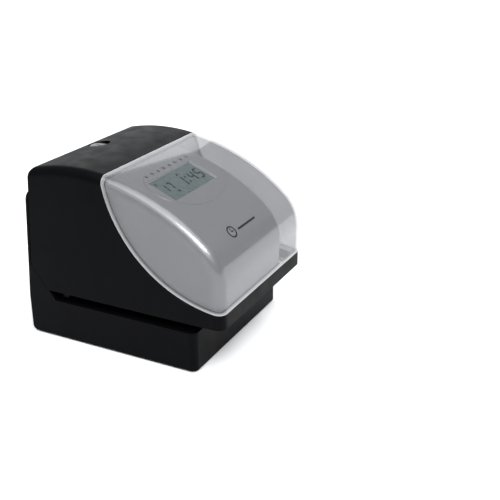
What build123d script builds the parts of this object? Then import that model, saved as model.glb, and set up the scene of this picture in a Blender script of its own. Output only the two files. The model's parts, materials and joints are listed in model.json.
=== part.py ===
from build123d import *

import math
import os

# Electronic time recorder: an upper print unit held over an open card throat by two rear columns.
# Millimetres. +Z is up, -Y is the side the user stands at, +X is the user's right.
# The origin is on the desk, under the middle of the machine.

# --- Overall machine ---------------------------------------------------------------------------
WIDTH = 162.0
HALF = WIDTH / 2
FRONT_Y = -102.0
REAR_Y = 102.0
FOOT_HEIGHT = 1.5
TABLE_Z = 38.0                 # where the card lies
THROAT_TOP = 47.0              # underside of the upper unit
WALL = 2.5                     # moulded housing walls
SHEET = 1.5                    # steel sheet

# --- Side outline of the upper unit ------------------------------------------------------------
CREST_Y = 11.45                # where the black top meets the clear front
CREST_Z = 165.5
CREST_SLOPE = 10.0             # degrees, falling to the front
TOP_RADIUS = 180.4
TOP_TURN = 25.0
FRONT_ARCS = ((215.0, 17.2), (172.0, 15.7), (44.0, 47.1))   # radius, turn in degrees
LEAN = math.radians(4.15)      # the rear leans forwards
EDGE_RADIUS = 8.5
OUTLINE_BOTTOM = 30.0          # the outline runs below the throat and is trimmed there

# --- Concave edge between the black cover and the clear front --------------------------------------
SCOOP_Y = -107.5
SCOOP_Z = 182.3
SCOOP_RADIUS = 122.0
SCOOP_GAP = 0.4

# --- Base ----------------------------------------------------------------------------------------
BASE_FRONT_Y = -75.0
KINK_Z = 37.5                  # the rear is upright below this height
PANEL_THICKNESS = 2.6
DIAGONAL_Y = 72.0              # rear end of the throat, where the diagonal seam starts
DIAGONAL_TOP_Z = 68.5
SEAM = 0.4
PANEL_TOP_Z = 140.5
BASE_SCREW_PLACES = [(x, y) for x in (-75, 75) for y in (-66, 91)]
WALL_SCREW_RADIUS = 2.25
WALL_SCREW_SPACING = 110.0
WALL_SCREW_Z = 22.0

# --- Clear front -----------------------------------------------------------------------------------
CLEAR_WALL = 2.2
LIP_OUTER = 2.6
LIP_INNER = 3.9
LIP_REACH = 4.0                # the lip runs this far under the black cover
LIP_ROOT = 1.8                 # and starts this far inside the clear front's rim

# --- Silver fascia and display -------------------------------------------------------------------
FASCIA_INSET = 4.5             # from the outside of the machine
FASCIA_WALL = 2.0
FASCIA_RIGHT_X = 45.0
FASCIA_LEFT_RADIUS = 10.0
FASCIA_RIGHT_RADIUS = 6.0
FASCIA_FOOT_Z = 50.0
OVAL_CENTRE = (-10.0, -28.0)
OVAL_RADII = (49.0, 30.0)
OVAL_HEIGHT = 0.5
DISPLAY_CENTRE = (-14.3, -27.95, 149.5)
DISPLAY_SLOPE = 21.4
DISPLAY_SIZE = (72.5, 31.3)
DISPLAY_DEPTH = 2.6
GLASS_THICKNESS = 2.8
STRIP_HEIGHT = 2.0
DISPLAY_BOARD_DEPTH = DISPLAY_DEPTH + GLASS_THICKNESS + STRIP_HEIGHT
DISPLAY_SCREW_PLACES = [(x, y) for x in (-43, 43) for y in (-18, 18)]
DISPLAY_SCREW_RADIUS = 1.2
BOARD_THICKNESS = 1.6

# --- Lock ------------------------------------------------------------------------------------------
LOCK_Y = 71.0
LOCK_FLOOR_Z = 162.2
LOCK_RECESS_RADIUS = 10.5
LOCK_BODY_RADIUS = 7.0
LOCK_PLUG_RADIUS = 4.5
LOCK_BODY_BOTTOM_Z = 148.0
CAM_TOP_Z = 145.2
CAM_THICKNESS = 2.0
CAM_SCREW_RADIUS = 1.5
STRIKER_Z = 146.2

# --- Rear columns ----------------------------------------------------------------------------------
COLUMN_X = 58.0
COLUMN_SIZE = (10.0, 8.0)
COLUMN_Y = 80.0
COLUMN_TOP_Z = 138.0
PANEL_SCREW_ZS = (82.0, 130.0)
PANEL_SCREW_PLACES = [(x, z) for x in (-COLUMN_X, COLUMN_X) for z in PANEL_SCREW_ZS]
LOCK_BRACKET_LOW_Z = 118.0
FLOOR_SCREW_RADIUS = 1.4
FLOOR_SCREW_Z = 57.0
CHASSIS_FLOOR_Z = 2.7
CHASSIS_TOP_Z = CHASSIS_FLOOR_Z + SHEET

# --- Upper floor -----------------------------------------------------------------------------------
GUIDE_TOP_Z = THROAT_TOP + SHEET
FLOOR_TOP_Z = GUIDE_TOP_Z + SHEET
FLOOR_HALF_WIDTH = 76.0
FLOOR_FRONT_Y = -97.0
FLOOR_REAR_Y = COLUMN_Y - COLUMN_SIZE[1] / 2
PRINT_GAP = (4.0, 74.0, 10.0, 30.0)        # x and y limits of the gap the print head works through
VIEW_GAP = (48.0, 74.0, -92.0, -32.0)      # x and y limits of the gap the card is seen through

# --- Print mechanism -------------------------------------------------------------------------------
CARRIAGE_X = (8.0, 28.0)
CARRIAGE_Y = (2.0, 38.8)
CARRIAGE_Z = (62.0, 78.0)
HEAD_POCKET = ((10.0, 26.0), (13.0, 27.0))
BUSHING_RADIUS = 4.6
BUSHING_LENGTH = 5.0
SHAFT_RADIUS = 3.0
SHAFT_Z = 70.0
SHAFT_YS = (8.0, 33.0)
RUNNING_CLEARANCE = 0.05
FRAME_XS = (2.0, 74.5)
PULLEY_Z = 74.0
MOTOR_X = -12.0
IDLER_X = 66.0
PULLEY_RADIUS = 5.9
BELT_INNER_RADIUS = 6.0
BELT_THICKNESS = 1.2
BELT_Y = (40.5, 45.5)
MOTOR_RADIUS = 17.5
MOTOR_Y = (48.2, 70.0)
MOTOR_EAR_X = 21.0
MOTOR_SHAFT_RADIUS = 2.5
IDLER_PIN_RADIUS = 2.0
HEAD_NOSE_Z = 41.5
RIBBON_Z = 40.9
KNOB_PLACE = (14.0, -13.0)
CARTRIDGE_TOP_Z = 66.0

# --- Card trigger and card stop --------------------------------------------------------------------
TRIGGER_X = (-9.0, -3.0)
TRIGGER_PIVOT = (40.0, 28.0)
TRIGGER_PIN_RADIUS = 1.5
STOP_X = -40.0
STOP_Y = (64.0, 67.0)

# --- Boards ----------------------------------------------------------------------------------------
MAIN_BOARD_X = (-68.0, 68.0)
MAIN_BOARD_Y = 72.0
MAIN_BOARD_Z = (66.0, 136.0)
BOARD_POSTS = [(x, z) for x in (-COLUMN_X, COLUMN_X) for z in (72, 120)]
BATTERY_PLACE = (-48.0, 86.0)  # x and z
CONTROL_BOARD_Z = 148.0
BUTTON_XS = (-54.0, -41.0, -28.0)
BUTTON_Y = 34.0
JACK_PLACE = (-35.0, 46.0)     # x and z
JACK_INNER_Y = 87.0


# --- Helpers ---------------------------------------------------------------------------------------
def block(x, y, z):
    """A box from its low and high limits along each axis."""
    size = [high - low for low, high in (x, y, z)]
    middle = [(low + high) / 2 for low, high in (x, y, z)]
    return Pos(*middle) * Box(*size)


def rod_x(radius, x, y, z):
    """A cylinder along X between the two values of x."""
    return Pos((x[0] + x[1]) / 2, y, z) * Rot(0, 90, 0) * Cylinder(radius, x[1] - x[0])


def rod_y(radius, x, y, z):
    """A cylinder along Y between the two values of y."""
    return Pos(x, (y[0] + y[1]) / 2, z) * Rot(90, 0, 0) * Cylinder(radius, y[1] - y[0])


def rod_z(radius, x, y, z):
    """A cylinder along Z between the two values of z."""
    return Pos(x, y, (z[0] + z[1]) / 2) * Cylinder(radius, z[1] - z[0])


def side_prism(points, x):
    """A prism along X between the two values of x, from its (y, z) corners."""
    outline = make_face(Polyline(*points, close=True))
    return Pos(x[0], 0, 0) * extrude(Plane.YZ * outline, amount=x[1] - x[0])


def pan_screw(head_radius, shank_radius, length):
    """A cross-head screw: the head's underside is at z = 0 and the shank points down."""
    head_height = head_radius * 0.6
    screw = rod_z(head_radius, 0, 0, (0, head_height))
    screw = fillet(screw.edges().sort_by(Axis.Z)[-1], head_height * 0.6)
    arm = head_radius * 0.55
    slot = head_radius * 0.15
    for across in ((arm, slot), (slot, arm)):
        screw -= block((-across[0], across[0]), (-across[1], across[1]), (head_height * 0.4, head_height + 1))
    return screw + rod_z(shank_radius, 0, 0, (-length, 0))


def group(solids):
    """Separate solids that share one node."""
    return Compound(children=[part for solid in solids for part in solid.solids()])


def direction(degrees):
    return (math.cos(math.radians(degrees)), math.sin(math.radians(degrees)))


# --- Outer form of the upper unit --------------------------------------------------------------------
def outline_edges():
    """Side outline in (y, z): crown, three front arcs, upright nose, and the leaning rear."""
    crest = (CREST_Y, CREST_Z)
    crown = JernArc(start=crest, tangent=direction(CREST_SLOPE), radius=TOP_RADIUS, arc_size=-TOP_TURN)
    arcs = []
    start, tangent = crest, direction(180 + CREST_SLOPE)
    for radius, turn in FRONT_ARCS:
        arc = JernArc(start=start, tangent=tangent, radius=radius, arc_size=turn)
        start, tangent = arc @ 1, arc % 1
        arcs.append(arc)
    rear_top = crown @ 1
    rear_foot = (rear_top.X + math.tan(LEAN) * (rear_top.Y - OUTLINE_BOTTOM), OUTLINE_BOTTOM)
    front_foot = (start.X, OUTLINE_BOTTOM)
    nose = Line((start.X, start.Y), front_foot)
    foot = Line(front_foot, rear_foot)
    rear = Line(rear_foot, (rear_top.X, rear_top.Y))
    return [crown, *arcs, nose, foot, rear]


def outline_face(inset):
    face = make_face(outline_edges())
    if inset == 0:
        return face
    return offset(face, amount=-inset, kind=Kind.INTERSECTION)


def is_rounded_side_edge(edge):
    """The long edges of the upper unit that run from the rear top over the front to the nose."""
    is_nose = edge.geom_type == GeomType.LINE and edge.center().Y < FRONT_Y + 15 and edge.length < 70
    return edge.geom_type == GeomType.CIRCLE or is_nose


def unit_solid(inset):
    """The whole upper unit as one solid, its walls moved inwards by inset."""
    half = HALF - inset
    radius = max(EDGE_RADIUS - inset, 2.0)
    solid = extrude(Plane.YZ * outline_face(inset), amount=half, both=True)
    on_side = [e for e in solid.edges() if abs(abs(e.center().X) - half) < 0.01]
    rounded = [e for e in on_side if is_rounded_side_edge(e)]
    across = [e for e in solid.edges() if abs(e.center().X) < 0.01]
    rear_top = [e for e in across if e.center().Y > 80 and e.center().Z > 150]
    return fillet(rounded + rear_top, radius)


def scoop(extra=0.0):
    """Everything inside the concave side edge, grown by extra."""
    return rod_x(SCOOP_RADIUS + extra, (-HALF - 10, HALF + 10), SCOOP_Y, SCOOP_Z)


def diagonal_z(y):
    """Height of the diagonal seam between base and cover at y."""
    slope = (DIAGONAL_TOP_Z - TABLE_Z) / (panel_inner_y(DIAGONAL_TOP_Z) - DIAGONAL_Y)
    return TABLE_Z + (y - DIAGONAL_Y) * slope


def panel_inner_y(z):
    """Inner face of the leaning rear panel at height z."""
    return REAR_Y - PANEL_THICKNESS - (z - KINK_Z) * math.tan(LEAN)


def below_cover():
    """The space under the cover's lower edge: the throat and the base's rear block."""
    rise = 1.6 * SEAM
    seam_y = DIAGONAL_Y + (THROAT_TOP - rise - TABLE_Z) / (diagonal_z(DIAGONAL_Y + 1) - TABLE_Z)
    front = FRONT_Y - 10
    rear = REAR_Y + 20
    ceiling = [(front, THROAT_TOP), (seam_y, THROAT_TOP), (rear, diagonal_z(rear) + rise)]
    return side_prism([*ceiling, (rear, 0), (front, 0)], (-HALF - 5, HALF + 5))


# --- Cover -------------------------------------------------------------------------------------------
def top_cover():
    outer = unit_solid(0)
    cup_radius = LOCK_RECESS_RADIUS + WALL
    cup_bottom = LOCK_FLOOR_Z - 3.5
    cup = rod_z(cup_radius, 0, LOCK_Y, (cup_bottom, CREST_Z + 10)) & outer
    cover = (outer - unit_solid(WALL)) + cup
    cover -= scoop()
    cover -= below_cover()
    rear_opening = block((-HALF + WALL + 0.1, HALF - WALL - 0.1), (80, 110), (30, PANEL_TOP_Z + SEAM))
    cover -= rear_opening
    cover -= rod_z(LOCK_RECESS_RADIUS, 0, LOCK_Y, (LOCK_FLOOR_Z, CREST_Z + 10))
    cover -= rod_z(LOCK_BODY_RADIUS + RUNNING_CLEARANCE, 0, LOCK_Y, (cup_bottom - 1, LOCK_FLOOR_Z + 1))
    return cover


def clear_front():
    skin = (unit_solid(0) - unit_solid(CLEAR_WALL)) & scoop(-SCOOP_GAP)
    lip_wall = unit_solid(LIP_OUTER) - unit_solid(LIP_INNER)
    lip = (lip_wall & scoop(LIP_REACH)) - scoop(-LIP_ROOT)
    bridge_wall = unit_solid(CLEAR_WALL - 0.2) - unit_solid(LIP_INNER)
    bridge = (bridge_wall & scoop(-SCOOP_GAP)) - scoop(-LIP_ROOT)
    return skin + bridge + lip


# --- Lock --------------------------------------------------------------------------------------------
def lock_body():
    body = rod_z(LOCK_BODY_RADIUS, 0, LOCK_Y, (LOCK_BODY_BOTTOM_Z, LOCK_FLOOR_Z))
    flange = rod_z(9.3, 0, LOCK_Y, (LOCK_FLOOR_Z, LOCK_FLOOR_Z + 2))
    flange = chamfer(flange.edges().sort_by(Axis.Z)[-1], 0.6)
    bore = rod_z(LOCK_PLUG_RADIUS + RUNNING_CLEARANCE, 0, LOCK_Y, (140, 170))
    return body + flange - bore


def lock_nut():
    height = 2.8
    nut = extrude(RegularPolygon(radius=11.0, side_count=6), amount=height)
    nut = Pos(0, LOCK_Y, LOCK_FLOOR_Z - 3.5 - height) * nut
    return nut - rod_z(LOCK_BODY_RADIUS, 0, LOCK_Y, (140, 170))


def lock_plug():
    top = LOCK_FLOOR_Z + 2.2
    plug = rod_z(LOCK_PLUG_RADIUS, 0, LOCK_Y, (CAM_TOP_Z, top))
    key_slot = block((-0.6, 0.6), (LOCK_Y - 3.2, LOCK_Y + 3.2), (top - 10, top + 1))
    return plug - key_slot - rod_z(CAM_SCREW_RADIUS, 0, LOCK_Y, (CAM_TOP_Z - 1, CAM_TOP_Z + 5))


def lock_cam():
    """At rest the cam's arm points to the front, clear of the striker."""
    z = (CAM_TOP_Z - CAM_THICKNESS, CAM_TOP_Z)
    cam = rod_z(4.8, 0, LOCK_Y, z) + block((-4, 4), (LOCK_Y - 14, LOCK_Y), z)
    tip = cam.edges().filter_by(Axis.Z).sort_by(Axis.Y)[:2]
    return fillet(tip, 3.0) - rod_z(CAM_SCREW_RADIUS, 0, LOCK_Y, (z[0] - 1, z[1] + 1))


def cam_screw():
    return Pos(0, LOCK_Y, CAM_TOP_Z - CAM_THICKNESS) * Rot(180, 0, 0) * pan_screw(3.0, CAM_SCREW_RADIUS, 6)


def lock_bracket():
    """Steel angle on top of the columns. The cam turns under its notched tab."""
    tab = block((-24, 24), (58, COLUMN_Y + 5.5), (STRIKER_Z, STRIKER_Z + SHEET))
    notch = rod_z(6.0, 0, LOCK_Y, (140, 150)) + block((-6, 6), (50, LOCK_Y), (140, 150))
    upright = block((-63, 63), (COLUMN_Y + 4, COLUMN_Y + 4 + SHEET), (LOCK_BRACKET_LOW_Z, STRIKER_Z))
    for side in (-1, 1):
        upright -= rod_y(2.0, side * COLUMN_X, (80, 90), PANEL_SCREW_ZS[1])
    return tab - notch + upright


# --- Base --------------------------------------------------------------------------------------------
def base_outline():
    bottom = FOOT_HEIGHT
    return [
        (BASE_FRONT_Y, bottom),
        (REAR_Y, bottom),
        (REAR_Y, KINK_Z),
        (REAR_Y - PANEL_THICKNESS, KINK_Z),
        (panel_inner_y(DIAGONAL_TOP_Z), DIAGONAL_TOP_Z),
        (DIAGONAL_Y, TABLE_Z),
        (BASE_FRONT_Y, TABLE_Z),
    ]


def base_housing():
    solid = side_prism(base_outline(), (-HALF, HALF))
    front_corners = solid.edges().filter_by(Axis.Z).sort_by(Axis.Y)[:2]
    solid = fillet(front_corners, 6.0)
    rear_heel = [e for e in solid.edges() if e.length > 150 and e.center().Y > 101 and e.center().Z < 3]
    solid = fillet(rear_heel, 5.0)
    outline = make_face(Polyline(*base_outline(), close=True))
    inner_face = offset(outline, amount=-WALL, kind=Kind.INTERSECTION)
    hollow = extrude(Plane.YZ * inner_face, amount=HALF - WALL, both=True)
    hollow += block((-HALF + WALL, HALF - WALL), (BASE_FRONT_Y + WALL, REAR_Y - WALL), (0, 8))
    housing = solid - hollow
    for x, y in BASE_SCREW_PLACES:
        housing += rod_z(4.0, x, y, (CHASSIS_FLOOR_Z, TABLE_Z - 1))
        housing -= rod_z(1.3, x, y, (0, 20))
    housing -= block((PRINT_GAP[0], PRINT_GAP[1]), (13, 27), (30, 40))
    housing -= block((TRIGGER_X[0] - 1.5, TRIGGER_X[1] + 1.5), (29, 49), (30, 40))
    housing -= block((STOP_X - 2.4, STOP_X + 2.4), (46, 70), (30, 40))
    for side in (-1, 1):
        column_hole = block((-5.5, 5.5), (COLUMN_Y - 4.5, COLUMN_Y + 4.5), (38, 70))
        housing -= Pos(side * COLUMN_X, 0, 0) * column_hole
        housing -= rod_y(WALL_SCREW_RADIUS, side * WALL_SCREW_SPACING / 2, (95, 110), WALL_SCREW_Z)
    housing -= rod_y(4.2, JACK_PLACE[0], (90, 110), JACK_PLACE[1])
    housing -= block((JACK_PLACE[0] - 4, JACK_PLACE[0] + 4), (76, 84), (38, 70))
    return housing


def base_plate():
    half_width = HALF - WALL - 0.2
    plate_y = (BASE_FRONT_Y + WALL + 0.2, REAR_Y - 4.5)
    plate = block((-half_width, half_width), plate_y, (FOOT_HEIGHT, CHASSIS_FLOOR_Z))
    for x, y in BASE_SCREW_PLACES:
        plate -= rod_z(1.6, x, y, (0, 5))
    for i in range(9):
        x = -32 + i * 8
        plate -= block((x - 1.5, x + 1.5), (-60, -25), (0, 5))
    return plate


def base_screws():
    screw = Rot(180, 0, 0) * pan_screw(2.2, 1.25, 12)
    return group([Pos(x, y, FOOT_HEIGHT) * screw for x, y in BASE_SCREW_PLACES])


def rubber_feet():
    feet = []
    for x in (-62, 62):
        for y in (-60, 82):
            foot = rod_z(6.5, x, y, (0, FOOT_HEIGHT))
            feet.append(chamfer(foot.edges().sort_by(Axis.Z)[0], 0.4))
    return group(feet)


def panel_place(x, z):
    """A place on the rear panel's outer face, its local Z pointing out of the machine."""
    y = REAR_Y - (z - KINK_Z) * math.tan(LEAN)
    return Location(Plane(origin=(x, y, z), x_dir=(-1, 0, 0), z_dir=(0, math.cos(LEAN), math.sin(LEAN))))


def rear_panel():
    low = KINK_Z + 0.3
    lean = math.tan(LEAN)
    points = [(REAR_Y - (z - KINK_Z) * lean - depth, z) for z, depth in
              ((low, 0), (PANEL_TOP_Z, 0), (PANEL_TOP_Z, PANEL_THICKNESS), (low, PANEL_THICKNESS))]
    panel = side_prism(points, (-HALF, HALF))
    top_corners = [e for e in panel.edges() if e.length < 4 and e.center().Z > 130 and abs(e.center().X) > 80]
    panel = fillet(top_corners, 8.0)
    for x, z in PANEL_SCREW_PLACES:
        panel -= panel_place(x, z) * Cylinder(1.7, 10)
    panel -= rod_y(4.2, JACK_PLACE[0], (90, 110), JACK_PLACE[1])
    for i in range(8):
        for x in (-24, 24):
            panel -= panel_place(x, 84 + i * 6) * Box(34, 2.4, 12)
    return panel


def panel_standoffs():
    """Spacers between the columns and the leaning panel."""
    posts = []
    for x, z in PANEL_SCREW_PLACES:
        start = COLUMN_Y + COLUMN_SIZE[1] / 2
        if z > LOCK_BRACKET_LOW_Z:
            start += SHEET
        post = rod_y(3.5, x, (start, 105), z)
        behind = panel_place(x, z) * Pos(0, 0, 30 - PANEL_THICKNESS) * Box(20, 20, 60)
        posts.append(post - behind - rod_y(2.0, x, (80, 110), z))
    return group(posts)


def panel_screws():
    screw = pan_screw(3.0, 1.5, 9)
    return group([panel_place(x, z) * screw for x, z in PANEL_SCREW_PLACES])


def lower_chassis():
    floor = block((-66, 75), (-10, 87), (CHASSIS_FLOOR_Z, CHASSIS_TOP_Z))
    left = block((-66, -66 + SHEET), (-10, 87), (CHASSIS_TOP_Z, 28))
    right = block((75 - SHEET, 75), (-10, 87), (CHASSIS_TOP_Z, 28))
    windows = [rod_x(9.0, (-70, 80), y, 16) for y in (5, 30, 55)]
    return floor + (left + right - windows)


def rear_columns():
    columns = []
    for side in (-1, 1):
        x = side * COLUMN_X
        column = block((x - 5, x + 5), (COLUMN_Y - 4, COLUMN_Y + 4), (CHASSIS_TOP_Z, COLUMN_TOP_Z))
        for z in PANEL_SCREW_ZS:
            column -= rod_y(2.0, x, (COLUMN_Y - 10, COLUMN_Y + 10), z)
        column -= rod_y(FLOOR_SCREW_RADIUS, x, (COLUMN_Y - 10, COLUMN_Y + 10), FLOOR_SCREW_Z)
        columns.append(column)
    return group(columns)


# --- Platen, trigger and stop under the card ------------------------------------------------------
def platen_frame():
    bar = block((6, 72), (14.5, 25.5), (28, 34))
    legs = [block((x, x + 4), (14.5, 25.5), (CHASSIS_TOP_Z, 28)) for x in (8, 66)]
    return bar + legs


def platen_pad():
    return block((6, 72), (15, 25), (34, TABLE_Z))


def trigger_bracket():
    y, z = TRIGGER_PIVOT
    foot = block((-14, 2), (30, 52), (CHASSIS_TOP_Z, CHASSIS_TOP_Z + 1.2))
    cheeks = [block((x, x + 1.2), (y - 6, y + 6), (CHASSIS_TOP_Z + 1.2, 33)) for x in (-14, 0.8)]
    return foot + cheeks - rod_x(TRIGGER_PIN_RADIUS, (-20, 10), y, z)


def trigger_pin():
    y, z = TRIGGER_PIVOT
    return rod_x(TRIGGER_PIN_RADIUS, (-15, 3), y, z)


def card_trigger():
    """The arm that an inserted card pushes back, with a tail that works the switch."""
    y, z = TRIGGER_PIVOT
    arm = [(y - 3, z), (y - 5.5, z + 12), (y - 5.5, z + 17), (y - 2.5, z + 17), (y + 3, z)]
    tail = [(y, z + 3.5), (y + 11, z - 4.5), (y + 10, z - 7), (y, z - 3.5)]
    lever = side_prism(arm, TRIGGER_X) + side_prism(tail, TRIGGER_X) + rod_x(4.0, TRIGGER_X, y, z)
    return lever - rod_x(TRIGGER_PIN_RADIUS + RUNNING_CLEARANCE, (-20, 10), y, z)


def trigger_spring():
    """Close turns of the return spring, beside the trigger on its pin."""
    y, z = TRIGGER_PIVOT
    wire = 0.35
    turn = Rot(0, 90, 0) * Torus(2.6, wire)
    return group([Pos(-12.2 + i * 0.75, y, z) * turn for i in range(4)])


def trigger_switch():
    body = block((-11, -1), (45, 56), (CHASSIS_TOP_Z + 1.2, 14))
    return body + block((-7.5, -4.5), (48.5, 50.5), (14, 15.2))


def card_stop():
    fence = block((-60, 60), STOP_Y, (TABLE_Z + 0.3, 45.5))
    shelf = block((-60, 60), (STOP_Y[1], STOP_Y[1] + 3), (TABLE_Z + 0.3, TABLE_Z + 1.8))
    stem = block((STOP_X - 2, STOP_X + 2), (STOP_Y[0] - 1, STOP_Y[1] + 1), (33, TABLE_Z + 0.3))
    clip = block((STOP_X - 6, STOP_X + 6), (STOP_Y[0] - 3, STOP_Y[1] + 1), (32, 34.8))
    finger_tab = block((-72, -60), (STOP_Y[0], STOP_Y[1] + 3), (TABLE_Z + 0.3, 43))
    return fence + shelf + stem + clip + finger_tab


# --- Upper floor ---------------------------------------------------------------------------------------
def cut_floor_gaps(plate):
    for gap in (PRINT_GAP, VIEW_GAP):
        plate -= block((gap[0], gap[1]), (gap[2], gap[3]), (THROAT_TOP - 5, FLOOR_TOP_Z + 5))
    return plate


def card_guide():
    """Smooth ceiling of the throat."""
    plate = block((-77.5, 77.5), (FLOOR_FRONT_Y - 1, FLOOR_REAR_Y), (THROAT_TOP, GUIDE_TOP_Z))
    corners = plate.edges().filter_by(Axis.Z).sort_by(Axis.Y)[:2]
    return cut_floor_gaps(fillet(corners, 6.0))


def upper_floor():
    across = (-FLOOR_HALF_WIDTH, FLOOR_HALF_WIDTH)
    plate = block(across, (FLOOR_FRONT_Y, FLOOR_REAR_Y), (GUIDE_TOP_Z, FLOOR_TOP_Z))
    corners = plate.edges().filter_by(Axis.Z).sort_by(Axis.Y)[:2]
    plate = cut_floor_gaps(fillet(corners, 5.0))
    for side in (-1, 1):
        x = side * COLUMN_X
        plate += block((x - 5, x + 5), (FLOOR_REAR_Y - SHEET, FLOOR_REAR_Y), (FLOOR_TOP_Z, 63))
        plate -= rod_y(FLOOR_SCREW_RADIUS, x, (FLOOR_REAR_Y - 5, FLOOR_REAR_Y + 5), FLOOR_SCREW_Z)
    return plate


def floor_screws():
    screw = Rot(90, 0, 0) * pan_screw(2.6, FLOOR_SCREW_RADIUS, 6)
    return group([Pos(side * COLUMN_X, FLOOR_REAR_Y - SHEET, FLOOR_SCREW_Z) * screw for side in (-1, 1)])


# --- Print mechanism -----------------------------------------------------------------------------------
def mechanism_frame(x):
    plate = block((x, x + SHEET), (-2, 38.5), (FLOOR_TOP_Z, 88))
    top = plate.edges().filter_by(Axis.X).sort_by(Axis.Z)[-2:]
    plate = fillet(top, 8.0)
    for y in SHAFT_YS:
        plate -= rod_x(SHAFT_RADIUS, (x - 5, x + 5), y, SHAFT_Z)
    return plate


def guide_shaft(y):
    return rod_x(SHAFT_RADIUS, (FRAME_XS[0], FRAME_XS[1] + SHEET), y, SHAFT_Z)


def shaft_clips():
    """Spring rings that hold both guide shafts inside the frames."""
    clips = []
    for y in SHAFT_YS:
        for x in (FRAME_XS[0] + SHEET, FRAME_XS[1] - 0.6):
            ring = rod_x(4.6, (x, x + 0.6), y, SHAFT_Z) - rod_x(SHAFT_RADIUS, (x - 1, x + 2), y, SHAFT_Z)
            clips.append(ring - block((x - 1, x + 2), (y - 1.5, y + 1.5), (SHAFT_Z, SHAFT_Z + 8)))
    return group(clips)


def carriage():
    body = block(CARRIAGE_X, CARRIAGE_Y, CARRIAGE_Z)
    body = fillet(body.edges().filter_by(Axis.X), 1.5)
    body -= block(*HEAD_POCKET, (60, 80))
    front_y, rear_y = SHAFT_YS
    for x in bushing_spans():
        body -= rod_x(BUSHING_RADIUS, x, front_y, SHAFT_Z)
    body -= rod_x(SHAFT_RADIUS + 0.3, (CARRIAGE_X[0] - 1, CARRIAGE_X[1] + 1), front_y, SHAFT_Z)
    body -= rod_x(SHAFT_RADIUS + RUNNING_CLEARANCE, (CARRIAGE_X[0] - 1, CARRIAGE_X[1] + 1), rear_y, SHAFT_Z)
    return body


def bushing_spans():
    low, high = CARRIAGE_X
    return [(low, low + BUSHING_LENGTH), (high - BUSHING_LENGTH, high)]


def carriage_bushings():
    y = SHAFT_YS[0]
    hole = rod_x(SHAFT_RADIUS + RUNNING_CLEARANCE, (CARRIAGE_X[0] - 1, CARRIAGE_X[1] + 1), y, SHAFT_Z)
    return group([rod_x(BUSHING_RADIUS, x, y, SHAFT_Z) - hole for x in bushing_spans()])


def print_head():
    """Needle head with cooling ribs above the carriage and its nose just over the ribbon."""
    body = block(*HEAD_POCKET, (FLOOR_TOP_Z + 1, 80))
    for z in range(81, 88, 3):
        body += block((9, 27), (12, 28), (z, z + 1.4))
    body += block((13, 23), (16, 24), (80, 87))
    nose = side_prism([(14.5, 51), (25.5, 51), (22, HEAD_NOSE_Z), (18, HEAD_NOSE_Z)], (13, 23))
    return body + nose


def belt_clamp():
    """Grips the lower run of the belt. The groove is a little taller than the belt."""
    low_run = PULLEY_Z - BELT_INNER_RADIUS - BELT_THICKNESS
    clamp = block((16, 20), (CARRIAGE_Y[1], 46.5), (low_run - 2, low_run + 3.2))
    groove = block((15, 21), (BELT_Y[0] - 0.3, 47), (low_run - 0.2, low_run + BELT_THICKNESS + 0.2))
    return clamp - groove


def belt_loop(radius):
    """The space inside a belt of this radius round both pulleys."""
    span = block((MOTOR_X, IDLER_X), BELT_Y, (PULLEY_Z - radius, PULLEY_Z + radius))
    return rod_y(radius, MOTOR_X, BELT_Y, PULLEY_Z) + rod_y(radius, IDLER_X, BELT_Y, PULLEY_Z) + span


def timing_belt():
    return belt_loop(BELT_INNER_RADIUS + BELT_THICKNESS) - belt_loop(BELT_INNER_RADIUS)


def pulley(x, bore_radius):
    drum = rod_y(PULLEY_RADIUS, x, (40.2, 45.8), PULLEY_Z)
    for y in ((39.9, 40.3), (45.7, 46.2)):
        drum += rod_y(7.8, x, y, PULLEY_Z)
    return drum - rod_y(bore_radius, x, (30, 60), PULLEY_Z)


def motor_pulley():
    return pulley(MOTOR_X, MOTOR_SHAFT_RADIUS)


def motor_shaft():
    shaft = rod_y(MOTOR_SHAFT_RADIUS, MOTOR_X, (39.2, 51), PULLEY_Z)
    return chamfer(shaft.edges().sort_by(Axis.Y)[0], 0.5)


def idler_pulley():
    return pulley(IDLER_X, IDLER_PIN_RADIUS + RUNNING_CLEARANCE)


def stepper_motor():
    can = rod_y(MOTOR_RADIUS, MOTOR_X, MOTOR_Y, PULLEY_Z)
    can = fillet(can.edges().filter_by(GeomType.CIRCLE), 1.2)
    flange_y = (MOTOR_Y[0], MOTOR_Y[0] + 1.0)
    flange = block((MOTOR_X - MOTOR_EAR_X, MOTOR_X + MOTOR_EAR_X), flange_y, (PULLEY_Z - 4, PULLEY_Z + 4))
    for side in (-1, 1):
        flange += rod_y(4.0, MOTOR_X + side * MOTOR_EAR_X, flange_y, PULLEY_Z)
        flange -= rod_y(1.7, MOTOR_X + side * MOTOR_EAR_X, (40, 60), PULLEY_Z)
    can_top_z = PULLEY_Z + MOTOR_RADIUS
    plug = block((MOTOR_X - 8, MOTOR_X + 8), (55, 64), (can_top_z - 2, can_top_z + 3))
    return can + flange + plug - rod_y(MOTOR_SHAFT_RADIUS + RUNNING_CLEARANCE, MOTOR_X, (40, 52), PULLEY_Z)


def motor_bracket():
    face_y = (47.0, MOTOR_Y[0])
    face = block((-38, 14), face_y, (FLOOR_TOP_Z, 94))
    foot = block((-38, 14), (47.0, 66), (FLOOR_TOP_Z, FLOOR_TOP_Z + 1.2))
    bracket = face + foot - rod_y(6.0, MOTOR_X, (40, 60), PULLEY_Z)
    for side in (-1, 1):
        bracket -= rod_y(1.5, MOTOR_X + side * MOTOR_EAR_X, (40, 60), PULLEY_Z)
    return bracket


def motor_screws():
    screw = Rot(-90, 0, 0) * pan_screw(2.8, 1.5, 3.4)
    return group([Pos(MOTOR_X + side * MOTOR_EAR_X, MOTOR_Y[0] + 1.0, PULLEY_Z) * screw for side in (-1, 1)])


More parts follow.
